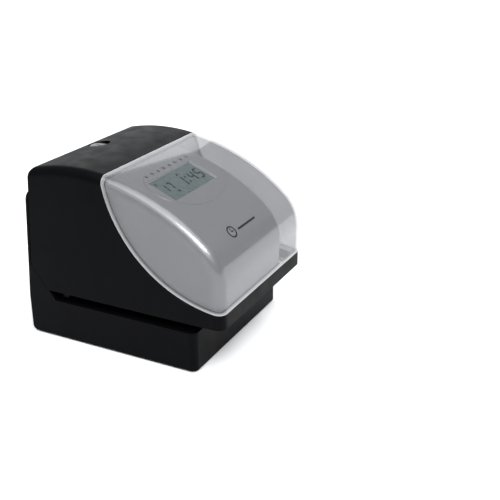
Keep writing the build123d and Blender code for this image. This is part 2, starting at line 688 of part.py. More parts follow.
def idler_bracket():
    face = block((57, 75.5), (47.0, 48.2), (FLOOR_TOP_Z, 84))
    foot = block((57, 75.5), (47.0, 62), (FLOOR_TOP_Z, FLOOR_TOP_Z + 1.2))
    return face + foot - rod_y(IDLER_PIN_RADIUS, IDLER_X, (40, 60), PULLEY_Z)


def idler_pin():
    pin = rod_y(IDLER_PIN_RADIUS, IDLER_X, (39.3, 48.2), PULLEY_Z)
    return pin + rod_y(3.0, IDLER_X, (39.0, 39.6), PULLEY_Z)


def ribbon_cartridge():
    body = block((5, 72.5), (-23, -3.5), (FLOOR_TOP_Z + 0.5, CARTRIDGE_TOP_Z))
    body = fillet(body.edges().filter_by(Axis.Z), 5.0)
    body -= rod_z(2.6, *KNOB_PLACE, (CARTRIDGE_TOP_Z - 8, CARTRIDGE_TOP_Z + 1))
    for x in ((5, 8.5), (69, 72.5)):
        body += block(x, (-9, 25), (FLOOR_TOP_Z + 1, 60))
        body += block(x, (15, 25), (RIBBON_Z - 0.4, 60))
    return body


def ink_ribbon():
    return block((8.5, 69), (16, 24), (RIBBON_Z, RIBBON_Z + 0.2))


def ribbon_knob():
    x, y = KNOB_PLACE
    low = CARTRIDGE_TOP_Z + 0.3
    knob = rod_z(6.5, x, y, (low, low + 6))
    knob = fillet(knob.edges().sort_by(Axis.Z)[-1], 1.0)
    for i in range(12):
        angle = math.radians(i * 30)
        knob -= rod_z(0.9, x + 6.9 * math.cos(angle), y + 6.9 * math.sin(angle), (low - 1, low + 8))
    return knob + rod_z(2.55, x, y, (CARTRIDGE_TOP_Z - 7.5, low + 1))


# --- Boards, power and battery ---------------------------------------------------------------------------
def main_board():
    y = (MAIN_BOARD_Y, MAIN_BOARD_Y + BOARD_THICKNESS)
    board = block(MAIN_BOARD_X, y, MAIN_BOARD_Z)
    for x, z in BOARD_POSTS:
        board -= rod_y(1.5, x, (60, 80), z)
    return board


def board_spacers():
    y = (MAIN_BOARD_Y + BOARD_THICKNESS, COLUMN_Y - COLUMN_SIZE[1] / 2)
    return group([rod_y(3.2, x, y, z) - rod_y(1.5, x, (60, 80), z) for x, z in BOARD_POSTS])


def board_screws():
    screw = Rot(90, 0, 0) * pan_screw(2.6, 1.4, 4)
    return group([Pos(x, MAIN_BOARD_Y, z) * screw for x, z in BOARD_POSTS])


def board_parts():
    """Chips, capacitors, connectors and the buzzer on the front of the main board."""
    y = MAIN_BOARD_Y
    chips = [
        ((20, 34), 1.6, (100, 114)),
        ((40, 48), 1.4, (96, 106)),
        ((-50, -38), 1.6, (104, 110)),
        ((24, 30), 1.4, (84, 92)),
    ]
    parts = [block(x, (y - depth, y), z) for x, depth, z in chips]
    for x in (40, 49, 58):
        parts.append(rod_y(3.5, x, (y - 11, y), 82))
    parts.append(rod_y(6.0, 50, (y - 8, y), 126))
    for x in ((-30, -10), (-4, 16), (22, 34)):
        parts.append(block(x, (y - 6, y), (126, 132)))
    parts.append(block((-66, -58), (y - 7, y), (98, 106)))
    return group(parts)


def battery_holder():
    y = MAIN_BOARD_Y
    x, z = BATTERY_PLACE
    cup = rod_y(12.0, x, (y - 5, y), z) - rod_y(10.2, x, (y - 6, y - 1.2), z)
    return cup - block((x - 4, x + 4), (y - 6, y - 1.2), (z - 14, z))


def backup_battery():
    x, z = BATTERY_PLACE
    cell = rod_y(10.0, x, (MAIN_BOARD_Y - 4.4, MAIN_BOARD_Y - 1.2), z)
    return chamfer(cell.edges().sort_by(Axis.Y)[0], 0.5)


def power_jack():
    x, z = JACK_PLACE
    body = block((x - 5, x + 5), (JACK_INNER_Y, 94.5), (z - 5.5, z + 5.5))
    barrel = rod_y(4.0, x, (94.5, 101.6), z)
    mouth = rod_y(2.9, x, (JACK_INNER_Y + 2, 105), z)
    return body + barrel - mouth + rod_y(1.0, x, (JACK_INNER_Y + 1, 100), z)


def jack_ring():
    return panel_place(*JACK_PLACE) * (rod_z(5.6, 0, 0, (0, 0.5)) - Cylinder(4.4, 10))


def power_lead():
    """Two-core lead from the jack up to the main board."""
    x, z = JACK_PLACE
    rise_y = COLUMN_Y - 0.5
    board_back_y = MAIN_BOARD_Y + BOARD_THICKNESS
    top_z = MAIN_BOARD_Z[0] + 10
    corners = [(x, JACK_INNER_Y, z), (x, rise_y, z), (x, rise_y, top_z), (x, board_back_y, top_z)]
    path = FilletPolyline(*corners, radius=2.0)
    start = Plane(origin=path @ 0, z_dir=path % 0)
    return sweep(start * Circle(1.6), path=path)


def control_bracket():
    shelf = block((-63, -18), (18, COLUMN_Y - 4), (143, 143 + SHEET))
    tab = block((-63, -53), (COLUMN_Y - 4 - SHEET, COLUMN_Y - 4), (128.0, 143))
    return shelf + tab


def control_board():
    y = (BUTTON_Y - 12, BUTTON_Y + 12)
    board = block((-62, -20), y, (CONTROL_BOARD_Z, CONTROL_BOARD_Z + BOARD_THICKNESS))
    for x in (-59, -23):
        board += rod_z(2.5, x, BUTTON_Y, (143 + SHEET, CONTROL_BOARD_Z))
    return board


def button_switches():
    low = CONTROL_BOARD_Z + BOARD_THICKNESS
    switches = []
    for x in BUTTON_XS:
        body = block((x - 3.2, x + 3.2), (BUTTON_Y - 3.2, BUTTON_Y + 3.2), (low, low + 3.4))
        switches.append(body - rod_z(1.9, x, BUTTON_Y, (low + 1, low + 5)))
    return group(switches)


def set_button(x):
    """Cap and stem of one setting button. The stem ends above the switch's floor."""
    low = CONTROL_BOARD_Z + BOARD_THICKNESS
    cap = rod_z(3.6, x, BUTTON_Y, (low + 4.4, low + 8.4))
    cap = fillet(cap.edges().sort_by(Axis.Z)[-1], 0.8)
    return cap + rod_z(1.6, x, BUTTON_Y, (low + 2.2, low + 5))


# --- Fascia and display ------------------------------------------------------------------------------------
def fascia_solid(inset):
    """The silver body as one solid, its walls moved inwards by inset from its own outside."""
    total = FASCIA_INSET + inset
    left, right = -HALF + total, FASCIA_RIGHT_X - inset
    solid = Pos(left, 0, 0) * extrude(Plane.YZ * outline_face(total), amount=right - left)
    for x, radius in ((left, FASCIA_LEFT_RADIUS), (right, FASCIA_RIGHT_RADIUS)):
        side = [e for e in solid.edges() if abs(e.center().X - x) < 0.01 and is_rounded_side_edge(e)]
        solid = fillet(side, max(radius - inset, 2.0))
    return solid


def display_place(depth=0.0):
    """The middle of the display opening, local Z out of the fascia, local Y up its slope."""
    slope = math.radians(DISPLAY_SLOPE)
    plane = Plane(origin=DISPLAY_CENTRE, x_dir=(1, 0, 0), z_dir=(0, -math.sin(slope), math.cos(slope)))
    return Location(plane) * Pos(0, 0, -depth)


def display_layer(size, top_depth, thickness):
    """A flat rectangular layer of the display at this depth under the fascia."""
    return display_place(top_depth + thickness / 2) * Box(*size, thickness)


def fascia():
    outer = fascia_solid(0)
    shell = outer - fascia_solid(FASCIA_WALL)
    ellipse = extrude(Pos(*OVAL_CENTRE, 100) * Ellipse(*OVAL_RADII), amount=80)
    shell += (fascia_solid(-OVAL_HEIGHT) - fascia_solid(FASCIA_WALL / 2)) & ellipse
    frame_size = [side + 7 for side in DISPLAY_SIZE]
    shell += display_layer(frame_size, -5, DISPLAY_DEPTH + 5) & outer
    for x, y in DISPLAY_SCREW_PLACES:
        boss = display_place(DISPLAY_BOARD_DEPTH) * Pos(x, y, 10) * Cylinder(3.5, 20)
        shell += boss & outer
        shell -= display_place(DISPLAY_BOARD_DEPTH) * Pos(x, y, 0) * Cylinder(DISPLAY_SCREW_RADIUS, 9)
    shell -= display_layer(DISPLAY_SIZE, -10, 20)
    keep = scoop(3.0) & block((-HALF, HALF), (FRONT_Y, 40), (FASCIA_FOOT_Z, 170))
    return (shell & keep) + bulkhead()


def bulkhead():
    """The fascia's flange behind the viewing space, right of the silver body."""
    x = (FASCIA_RIGHT_X - FASCIA_WALL, HALF - FASCIA_INSET)
    foot_y = -26.0
    space = block(x, (foot_y, 60), (80, 170)) & unit_solid(FASCIA_INSET)
    curved = (scoop(2.5) - scoop(0.5)) & space
    foot_top = SCOOP_Z - math.sqrt((SCOOP_RADIUS + 1.5) ** 2 - (foot_y + 1 - SCOOP_Y) ** 2)
    return curved + block(x, (foot_y, foot_y + 2), (FASCIA_FOOT_Z, foot_top))


def lcd_glass():
    return display_layer([side + 4 for side in DISPLAY_SIZE], DISPLAY_DEPTH, GLASS_THICKNESS)


def lcd_strips():
    """Rubber contact strips between the glass and its board."""
    strip = display_layer((70, 2.4), DISPLAY_DEPTH + GLASS_THICKNESS, STRIP_HEIGHT)
    slope = math.radians(DISPLAY_SLOPE)
    offsets = (-15, 15)
    return group([Pos(0, d * math.cos(slope), d * math.sin(slope)) * strip for d in offsets])


def lcd_board():
    board = display_layer((92, 44), DISPLAY_BOARD_DEPTH, BOARD_THICKNESS)
    for x, y in DISPLAY_SCREW_PLACES:
        board -= display_place() * Pos(x, y, 0) * Cylinder(DISPLAY_SCREW_RADIUS, 40)
    under = display_place(DISPLAY_BOARD_DEPTH + BOARD_THICKNESS)
    chip = under * Pos(0, -5, -0.75) * Box(14, 14, 1.5)
    connector = under * Pos(-5.7, 9, -1.5) * Box(18, 5, 3)
    return board + chip + connector


def lcd_screws():
    under = display_place(DISPLAY_BOARD_DEPTH + BOARD_THICKNESS)
    screw = Rot(180, 0, 0) * pan_screw(2.4, DISPLAY_SCREW_RADIUS, 5)
    return group([under * Pos(x, y, 0) * screw for x, y in DISPLAY_SCREW_PLACES])


def display_cable():
    """Flat cable from the display board back to the main board."""
    path = [(-17.5, 140.6), (-12.9, 142.4), (6, 139), (40, 131), (66, 129)]
    under = [(y, z - 0.6) for y, z in reversed(path)]
    return side_prism(path + under, (-28, -12))


# --- Nodes ---------------------------------------------------------------------------------------------
NODES = {
    "top_cover": top_cover,
    "clear_front": clear_front,
    "lock_body": lambda: group([lock_body(), lock_nut()]),
    "lock_plug": lock_plug,
    "lock_cam": lambda: group([lock_cam(), cam_screw()]),
    "lock_bracket": lock_bracket,
    "base_housing": base_housing,
    "base_plate": base_plate,
    "base_screws": base_screws,
    "rubber_feet": rubber_feet,
    "rear_panel": rear_panel,
    "panel_fixings": lambda: group([panel_standoffs(), panel_screws()]),
    "lower_chassis": lower_chassis,
    "rear_columns": rear_columns,
    "platen_frame": platen_frame,
    "platen_pad": platen_pad,
    "trigger_bracket": trigger_bracket,
    "trigger_pin": trigger_pin,
    "card_trigger": card_trigger,
    "trigger_spring": trigger_spring,
    "trigger_switch": trigger_switch,
    "card_stop": card_stop,
    "card_guide": card_guide,
    "upper_floor": upper_floor,
    "mechanism_frames": lambda: group([mechanism_frame(x) for x in FRAME_XS]),
    "guide_shafts": lambda: group([guide_shaft(y) for y in SHAFT_YS]),
    "shaft_clips": shaft_clips,
    "carriage": carriage,
    "carriage_bushings": carriage_bushings,
    "print_head": print_head,
    "belt_clamp": belt_clamp,
    "timing_belt": timing_belt,
    "motor_pulley": motor_pulley,
    "motor_shaft": motor_shaft,
    "idler_pulley": idler_pulley,
    "stepper_motor": stepper_motor,
    "motor_bracket": motor_bracket,
    "idler_bracket": lambda: group([idler_bracket(), idler_pin()]),
    "inner_screws": lambda: group([floor_screws(), motor_screws(), lcd_screws()]),
    "ribbon_cartridge": ribbon_cartridge,
    "ink_ribbon": ink_ribbon,
    "ribbon_knob": ribbon_knob,
    "main_board": main_board,
    "board_fixings": lambda: group([board_spacers(), board_screws()]),
    "board_parts": board_parts,
    "battery_holder": battery_holder,
    "backup_battery": backup_battery,
    "power_jack": lambda: group([power_jack(), jack_ring()]),
    "power_lead": power_lead,
    "control_bracket": control_bracket,
    "control_board": control_board,
    "button_switches": button_switches,
    "set_button_1": lambda: set_button(BUTTON_XS[0]),
    "set_button_2": lambda: set_button(BUTTON_XS[1]),
    "set_button_3": lambda: set_button(BUTTON_XS[2]),
    "fascia": fascia,
    "lcd_glass": lcd_glass,
    "lcd_strips": lcd_strips,
    "lcd_board": lcd_board,
    "display_cable": display_cable,
}

for name, make in NODES.items():
    export_step(make(), f"parts/{name}.step")
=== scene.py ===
import json
import math

import bpy
from mathutils import Matrix, Vector


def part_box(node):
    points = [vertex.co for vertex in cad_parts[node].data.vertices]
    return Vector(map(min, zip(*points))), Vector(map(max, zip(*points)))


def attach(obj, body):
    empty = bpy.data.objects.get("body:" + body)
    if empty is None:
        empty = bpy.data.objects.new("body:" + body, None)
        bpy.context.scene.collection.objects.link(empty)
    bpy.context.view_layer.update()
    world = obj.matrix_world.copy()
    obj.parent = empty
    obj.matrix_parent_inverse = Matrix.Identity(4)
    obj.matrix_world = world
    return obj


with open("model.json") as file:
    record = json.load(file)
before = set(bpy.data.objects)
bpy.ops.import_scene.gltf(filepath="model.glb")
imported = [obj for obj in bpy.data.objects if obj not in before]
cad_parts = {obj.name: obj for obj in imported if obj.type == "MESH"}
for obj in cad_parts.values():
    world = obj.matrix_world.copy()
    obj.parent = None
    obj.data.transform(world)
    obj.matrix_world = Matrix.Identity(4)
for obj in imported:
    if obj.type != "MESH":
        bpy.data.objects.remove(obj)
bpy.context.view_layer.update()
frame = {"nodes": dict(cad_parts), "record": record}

NODES = frame["nodes"]
RECORD = frame["record"]
MM = 0.001


# --- Camera, light and floor -------------------------------------------------------------------
CAMERA_PLACE = (-0.6274, -0.4004, 0.3902)
CAMERA_TARGET = (0.0, -0.0869, 0.08784)
LENS = 61.31


def look_at(obj, target):
    direction = Vector(target) - obj.location
    obj.rotation_euler = direction.to_track_quat("-Z", "Y").to_euler()


def make_camera():
    camera = bpy.data.objects.new("camera", bpy.data.cameras.new("camera"))
    bpy.context.collection.objects.link(camera)
    camera.location = CAMERA_PLACE
    camera.data.lens = LENS
    camera.data.sensor_width = 36.0
    camera.data.clip_start = 0.01
    look_at(camera, CAMERA_TARGET)
    bpy.context.scene.camera = camera
    bpy.context.scene.view_settings.view_transform = "Standard"


def area_light(name, place, target, size, watts, in_reflections):
    data = bpy.data.lights.new(name, "AREA")
    data.shape = "RECTANGLE"
    data.size, data.size_y = size
    data.energy = watts
    light = bpy.data.objects.new(name, data)
    bpy.context.collection.objects.link(light)
    light.location = place
    light.visible_glossy = in_reflections
    look_at(light, target)


def sun_light(name, direction, strength, softness):
    data = bpy.data.lights.new(name, "SUN")
    data.energy = strength
    data.angle = softness
    light = bpy.data.objects.new(name, data)
    bpy.context.collection.objects.link(light)
    light.location = Vector(direction) * -3
    look_at(light, (0, 0, 0))


def make_lights():
    sun_light("overhead", (0.25, 0.2, -1.0), 2.6, math.radians(70))
    area_light("left_box", (-0.9, -0.9, 1.5), (0, -0.03, 0.1), (0.9, 0.6), 17, True)
    area_light("right_box", (1.2, -0.5, 0.9), (0, -0.03, 0.1), (0.8, 0.8), 9, False)
    area_light("rear_box", (1.3, 1.0, 0.75), (0, 0.05, 0.16), (1.2, 0.7), 3.9, True)
    world = bpy.data.worlds.new("studio")
    world.use_nodes = True
    background = world.node_tree.nodes["Background"]
    background.inputs["Color"].default_value = (0.93, 0.96, 1.0, 1)
    background.inputs["Strength"].default_value = 0.55
    bpy.context.scene.world = world


# --- Shader building ---------------------------------------------------------------------------
class Shader:
    """A material's node tree with short calls to add and join nodes."""

    def __init__(self, name):
        self.material = bpy.data.materials.new(name)
        self.material.use_nodes = True
        self.tree = self.material.node_tree
        self.surface = self.tree.nodes["Principled BSDF"]
        self.output = self.tree.nodes["Material Output"]
        self.place = self.add("ShaderNodeTexCoord").outputs["Object"]

    def add(self, kind, inputs=None, **settings):
        node = self.tree.nodes.new(kind)
        for key, value in settings.items():
            setattr(node, key, value)
        for key, value in (inputs or {}).items():
            self.feed(node.inputs[key], value)
        return node

    def feed(self, socket, value):
        if isinstance(value, bpy.types.NodeSocket):
            self.tree.links.new(value, socket)
        else:
            socket.default_value = value

    def set(self, **values):
        for key, value in values.items():
            self.feed(self.surface.inputs[key.replace("_", " ")], value)

    def noise(self, scale, detail=2.0, roughness=0.5, vector=None):
        inputs = {"Vector": vector or self.place, "Scale": scale, "Detail": detail, "Roughness": roughness}
        return self.add("ShaderNodeTexNoise", inputs).outputs["Fac"]

    def stretched(self, scale):
        return self.add("ShaderNodeMapping", {"Vector": self.place, "Scale": scale}).outputs["Vector"]

    def remap(self, value, low, high, new_low, new_high):
        inputs = {"Value": value, "From Min": low, "From Max": high, "To Min": new_low, "To Max": new_high}
        return self.add("ShaderNodeMapRange", inputs).outputs["Result"]

    def maths(self, operation, a, b=0.0):
        return self.add("ShaderNodeMath", {0: a, 1: b}, operation=operation).outputs[0]

    def mix_colour(self, factor, first, second):
        node = self.add("ShaderNodeMix", data_type="RGBA")
        self.feed(node.inputs[0], factor)
        self.feed(node.inputs[6], as_colour(first))
        self.feed(node.inputs[7], as_colour(second))
        return node.outputs[2]

    def bump(self, height, distance, strength=1.0, normal=None):
        node = self.add("ShaderNodeBump", {"Height": height, "Distance": distance, "Strength": strength})
        if normal:
            self.feed(node.inputs["Normal"], normal)
        return node.outputs["Normal"]

    def soft_edges(self, radius):
        """The normal of slightly rounded edges."""
        return self.add("ShaderNodeBevel", {"Radius": radius}, samples=4).outputs["Normal"]

    def edge_mask(self, rounded):
        """1 along edges, 0 on open surfaces."""
        true_normal = self.add("ShaderNodeNewGeometry").outputs["Normal"]
        dot = self.add("ShaderNodeVectorMath", {0: rounded, 1: true_normal}, operation="DOT_PRODUCT")
        return self.remap(dot.outputs["Value"], 0.80, 0.995, 1.0, 0.0)

    def axis(self, index):
        return self.add("ShaderNodeSeparateXYZ", {0: self.place}).outputs[index]


def as_colour(value):
    if isinstance(value, (tuple, list)) and len(value) == 3:
        return (*value, 1.0)
    return value


def lighter(colour, factor):
    return tuple(min(channel * factor, 1.0) for channel in colour)


# --- Materials ---------------------------------------------------------------------------------
# Partly painted shade: the see-through tint is the moulding's light smoke made darker; lamp light passes at
# the paler LAMP_TINT.
CLEAR_SMOKE_AND_SHADE = (0.69, 0.69, 0.695, 1.0)     # what shows through each face of the clear front
LAMP_TINT = (0.93, 0.93, 0.93, 1.0)       # lamp light that each of its faces lets in
SCOOP_AXIS = (-0.1075, 0.1823)            # y and z of the axis that the clear front's rim curves round
RIM_RADIUS = 0.1216


def moulded_plastic(name, colour, roughness, specular, grain=2600.0, grain_depth=0.00003, edge_gain=1.8):
    """Spark-eroded moulding grain, faint flow clouds, and edges rubbed a little lighter."""
    s = Shader(name)
    rounded = s.soft_edges(0.0006)
    wear = s.maths("MULTIPLY", s.edge_mask(rounded), s.remap(s.noise(90, 4), 0.4, 0.65, 0.15, 0.7))
    clouds = s.remap(s.noise(22, 3), 0.35, 0.65, 0.0, 1.0)
    base = s.mix_colour(clouds, lighter(colour, 0.88), lighter(colour, 1.12))
    s.set(Base_Color=s.mix_colour(wear, base, lighter(colour, edge_gain)))
    fine = s.noise(grain, 3, 0.6)
    s.set(Roughness=s.remap(s.noise(60, 5), 0.3, 0.7, roughness - 0.05, roughness + 0.07))
    s.set(Specular_IOR_Level=specular)
    s.set(Normal=s.bump(fine, grain_depth, 0.6, rounded))
    return s.material


def silver_paint():
    """Aluminium-flake paint over plastic: fine sparkle, slight orange peel, clear lacquer."""
    s = Shader("silver_paint")
    rounded = s.soft_edges(0.0008)
    flakes = s.add("ShaderNodeTexVoronoi", {"Vector": s.place, "Scale": 5200.0})
    flake_light = s.remap(flakes.outputs["Color"], 0.0, 1.0, 0.0, 1.0)
    base = s.mix_colour(flake_light, (0.51, 0.515, 0.53), (0.63, 0.635, 0.65))
    clouds = s.remap(s.noise(14, 3), 0.35, 0.65, 0.0, 1.0)
    s.set(Base_Color=s.mix_colour(s.maths("MULTIPLY", clouds, 0.25), base, (0.54, 0.545, 0.56)))
    s.set(Metallic=0.5, Coat_Weight=0.25, Coat_Roughness=0.12)
    s.set(Roughness=s.remap(s.noise(180, 4), 0.3, 0.7, 0.33, 0.41))
    peel = s.bump(s.noise(420, 2), 0.00003, 0.4, rounded)
    s.set(Normal=s.bump(flakes.outputs["Distance"], 0.00001, 0.35, peel))
    return s.material


def clear_plastic():
    """Lightly smoked clear moulding, mirror-like at grazing angles; its see-through has painted shade, its
    cut rim a painted highlight.
    """
    s = Shader("clear_plastic")
    rounded = s.soft_edges(0.0005)
    waves = s.bump(s.noise(60, 2), 0.00003, 0.3, rounded)
    s.set(Base_Color=s.mix_colour(s.noise(40, 3), (0.93, 0.94, 0.95), (0.99, 0.99, 1.0)), Metallic=1.0)
    s.set(Roughness=s.remap(s.noise(300, 4), 0.3, 0.7, 0.03, 0.07), Normal=waves)
    # Painted shade on top of the moulding's smoke: the darker tint that the camera sees through.
    through = s.add("ShaderNodeBsdfTransparent", {"Color": CLEAR_SMOKE_AND_SHADE})
    grazing = s.add("ShaderNodeLayerWeight", {"Blend": 0.5, "Normal": waves}).outputs["Facing"]
    gloss = s.remap(s.maths("POWER", grazing, 5.0), 0.0, 1.0, 0.035, 1.0)
    scuffs = s.remap(s.noise(900, 6, 0.7), 0.62, 0.75, 0.0, 0.02)
    body = s.add("ShaderNodeMixShader", {0: s.maths("ADD", gloss, scuffs)})
    s.feed(body.inputs[1], through.outputs[0])
    s.feed(body.inputs[2], s.surface.outputs[0])
    # Painted highlight: a pale diffuse coat on the cut rim in place of the bright edge of clear plastic.
    rim_highlight = s.add("ShaderNodeBsdfPrincipled", {"Base Color": (0.85, 0.87, 0.88, 1.0), "Roughness": 0.3})
    whole = s.add("ShaderNodeMixShader", {0: s.maths("MULTIPLY", rim_highlight_mask(s), 0.5)})
    s.feed(whole.inputs[1], body.outputs[0])
    s.feed(whole.inputs[2], rim_highlight.outputs[0])
    lit = s.add("ShaderNodeMixShader", {0: s.add("ShaderNodeLightPath").outputs["Is Shadow Ray"]})
    s.feed(lit.inputs[1], whole.outputs[0])
    s.feed(lit.inputs[2], s.add("ShaderNodeBsdfTransparent", {"Color": LAMP_TINT}).outputs[0])
    s.feed(s.output.inputs["Surface"], lit.outputs[0])
    return s.material


def rim_highlight_mask(s):
    """1 on the clear front's cut rim, where the painted highlight goes; the rim lies on a cylinder round the
    scoop's axis.
    """
    from_y = s.maths("SUBTRACT", s.axis(1), SCOOP_AXIS[0])
    from_z = s.maths("SUBTRACT", s.axis(2), SCOOP_AXIS[1])
    squares = s.maths("ADD", s.maths("POWER", from_y, 2.0), s.maths("POWER", from_z, 2.0))
    return s.remap(s.maths("SQRT", squares), RIM_RADIUS - 0.0006, RIM_RADIUS - 0.0001, 0.0, 1.0)


def sheet_metal(name, colour, roughness, streak=(900.0, 40.0, 900.0)):
    """Rolled and plated sheet: fine streaks along the rolling direction and dull patches."""
    s = Shader(name)
    rounded = s.soft_edges(0.0003)
    streaks = s.noise(1.0, 4, 0.6, s.stretched(streak))
    patches = s.remap(s.noise(30, 4), 0.35, 0.65, 0.0, 1.0)
    s.set(Base_Color=s.mix_colour(patches, lighter(colour, 0.86), lighter(colour, 1.08)))
    rough = s.maths("ADD", s.remap(streaks, 0.3, 0.7, roughness - 0.07, roughness + 0.07),
                    s.maths("MULTIPLY", patches, 0.06))
    s.set(Metallic=1.0, Roughness=rough, Normal=s.bump(streaks, 0.00001, 0.5, rounded))
    return s.material


def plated(name, colour, roughness):
    """Bright plating with fine turning lines and fingerprints."""
    s = Shader(name)
    rounded = s.soft_edges(0.0003)
    lines = s.noise(1.0, 3, 0.6, s.stretched((300.0, 300.0, 4000.0)))
    smudges = s.remap(s.noise(160, 5), 0.45, 0.7, 0.0, 0.12)
    s.set(Base_Color=s.mix_colour(s.noise(90, 3), lighter(colour, 0.93), colour), Metallic=1.0)
    s.set(Roughness=s.maths("ADD", s.remap(lines, 0.3, 0.7, roughness - 0.02, roughness + 0.04), smudges))
    s.set(Normal=s.bump(lines, 0.000005, 0.4, rounded))
    return s.material


def rubber(name, colour):
    s = Shader(name)
    dust = s.remap(s.noise(400, 6, 0.7), 0.5, 0.72, 0.0, 0.35)
    s.set(Base_Color=s.mix_colour(dust, colour, lighter(colour, 3.0)))
    s.set(Roughness=s.remap(s.noise(120, 3), 0.3, 0.7, 0.72, 0.88), Specular_IOR_Level=0.3)
    s.set(Normal=s.bump(s.noise(3000, 3), 0.00003, 0.6, s.soft_edges(0.0004)))
    return s.material


def circuit_board():
    """Green lacquer over copper tracks, with a grid of soldered pads."""
    s = Shader("circuit_board")
    tracks = s.add("ShaderNodeTexBrick", {"Vector": s.place, "Scale": 130.0, "Mortar Size": 0.035,
                                          "Brick Width": 0.9, "Row Height": 0.23})
    pads = s.add("ShaderNodeTexVoronoi", {"Vector": s.place, "Scale": 260.0, "Randomness": 0.35})
    is_pad = s.remap(pads.outputs["Distance"], 0.16, 0.20, 1.0, 0.0)
    chosen = s.maths("MULTIPLY", is_pad, s.remap(s.noise(55, 2), 0.54, 0.58, 0.0, 1.0))
    lacquer = s.mix_colour(tracks.outputs["Fac"], (0.012, 0.10, 0.045), (0.03, 0.19, 0.085))
    s.set(Base_Color=s.mix_colour(chosen, lacquer, (0.62, 0.60, 0.55)))
    s.set(Metallic=s.maths("MULTIPLY", chosen, 0.9), Roughness=s.remap(chosen, 0.0, 1.0, 0.38, 0.28))
    s.set(Coat_Weight=0.3, Coat_Roughness=0.2)
    s.set(Normal=s.bump(tracks.outputs["Fac"], 0.00003, 0.5))
    return s.material


def woven_ribbon():
    s = Shader("inked_ribbon")
    warp = s.add("ShaderNodeTexWave", {"Vector": s.place, "Scale": 900.0}, bands_direction="X")
    weft = s.add("ShaderNodeTexWave", {"Vector": s.place, "Scale": 900.0}, bands_direction="Y")
    weave = s.maths("MULTIPLY", warp.outputs["Fac"], weft.outputs["Fac"])
    worn = s.remap(s.noise(70, 4), 0.4, 0.7, 0.0, 0.5)
    s.set(Base_Color=s.mix_colour(worn, (0.012, 0.010, 0.022), (0.05, 0.045, 0.065)))
    s.set(Roughness=s.remap(weave, 0.0, 1.0, 0.7, 0.9), Sheen_Weight=0.2)
    s.set(Normal=s.bump(weave, 0.00004, 0.7))
    return s.material


def display_glass():
    """Reflective liquid crystal: greenish grey, with the faint grid of unlit segments."""
    s = Shader("display_glass")
    clouds = s.remap(s.noise(35, 3), 0.35, 0.65, 0.0, 1.0)
    base = s.mix_colour(clouds, (0.18, 0.235, 0.23), (0.20, 0.26, 0.255))
    fine = s.remap(s.noise(2500, 2), 0.45, 0.55, 0.0, 0.08)
    s.set(Base_Color=s.mix_colour(fine, base, (0.145, 0.19, 0.185)))
    s.set(Roughness=s.remap(s.noise(200, 3), 0.3, 0.7, 0.22, 0.30), Specular_IOR_Level=0.5)
    s.set(Normal=s.bump(s.noise(1500, 2), 0.000004, 0.5))
    return s.material


def printed_ink(name, colour):
    s = Shader(name)
    grain = s.remap(s.noise(5000, 3), 0.4, 0.7, 0.0, 1.0)
    s.set(Base_Color=s.mix_colour(grain, colour, lighter(colour, 1.5)))
    s.set(Roughness=s.remap(s.noise(900, 3), 0.3, 0.7, 0.45, 0.6), Specular_IOR_Level=0.15)
    s.set(Normal=s.bump(grain, 0.000008, 0.4))
    return s.material


def studio_floor():
    s = Shader("studio_floor")
    s.set(Base_Color=s.mix_colour(s.noise(6, 3), (0.90, 0.90, 0.905), (0.93, 0.93, 0.935)))
    s.set(Roughness=s.remap(s.noise(40, 3), 0.3, 0.7, 0.75, 0.85), Specular_IOR_Level=0.1)
    s.set(Normal=s.bump(s.noise(700, 2), 0.00002, 0.2))
    return s.material


SLOT_MATERIALS = {
    "black_shell": moulded_plastic("black_shell", (0.0018, 0.0019, 0.0024), 0.42, 0.04),
    "clear_front": clear_plastic(),
    "silver_fascia": silver_paint(),
    "lock_plated": plated("lock_plated", (0.10, 0.10, 0.105), 0.30),
    "steel_sheet": sheet_metal("steel_sheet", (0.52, 0.53, 0.55), 0.38),
    "screw_steel": plated("screw_steel", (0.58, 0.58, 0.56), 0.26),
    "ground_steel": plated("ground_steel", (0.66, 0.66, 0.68), 0.12),
    "motor_steel": sheet_metal("motor_steel", (0.36, 0.36, 0.35), 0.42),
    "battery_steel": plated("battery_steel", (0.66, 0.65, 0.62), 0.2),
    "head_aluminium": sheet_metal("head_aluminium", (0.40, 0.40, 0.41), 0.5, (500.0, 500.0, 500.0)),
    "bronze": sheet_metal("bronze", (0.43, 0.27, 0.12), 0.45, (1500.0, 1500.0, 1500.0)),
    "foot_rubber": rubber("foot_rubber", (0.012, 0.012, 0.012)),
    "platen_rubber": rubber("platen_rubber", (0.022, 0.022, 0.024)),
    "belt_rubber": rubber("belt_rubber", (0.010, 0.010, 0.011)),
    "dark_plastic": moulded_plastic("dark_plastic", (0.012, 0.012, 0.014), 0.50, 0.35),
    "pale_plastic": moulded_plastic("pale_plastic", (0.62, 0.60, 0.54), 0.42, 0.5, edge_gain=1.1),
    "cartridge_plastic": moulded_plastic("cartridge_plastic", (0.030, 0.030, 0.034), 0.40, 0.4),
    "button_plastic": moulded_plastic("button_plastic", (0.14, 0.145, 0.155), 0.35, 0.5, edge_gain=1.4),
    "board_green": circuit_board(),
    "ribbon_fabric": woven_ribbon(),
    "lead_plastic": moulded_plastic("lead_plastic", (0.13, 0.13, 0.13), 0.45, 0.4, edge_gain=1.2),
    "lcd": display_glass(),
}
SEGMENT_INK = printed_ink("segment_ink", (0.002, 0.003, 0.003))
# Painted highlight: near-white paint for the display recess walls, lighter than their silver, for the light
# they catch.
RECESS_HIGHLIGHT_PAINT = moulded_plastic("recess_highlight_paint", (0.92, 0.92, 0.93), 0.35, 0.5, edge_gain=1.0)
PAD_INK = printed_ink("pad_ink", (0.010, 0.011, 0.012))


def dress_cad_nodes():
    for subpart in RECORD["subparts"]:
        for material_slot in NODES[subpart["node"]].material_slots:
            material_slot.material = SLOT_MATERIALS[subpart["material_slot"]]


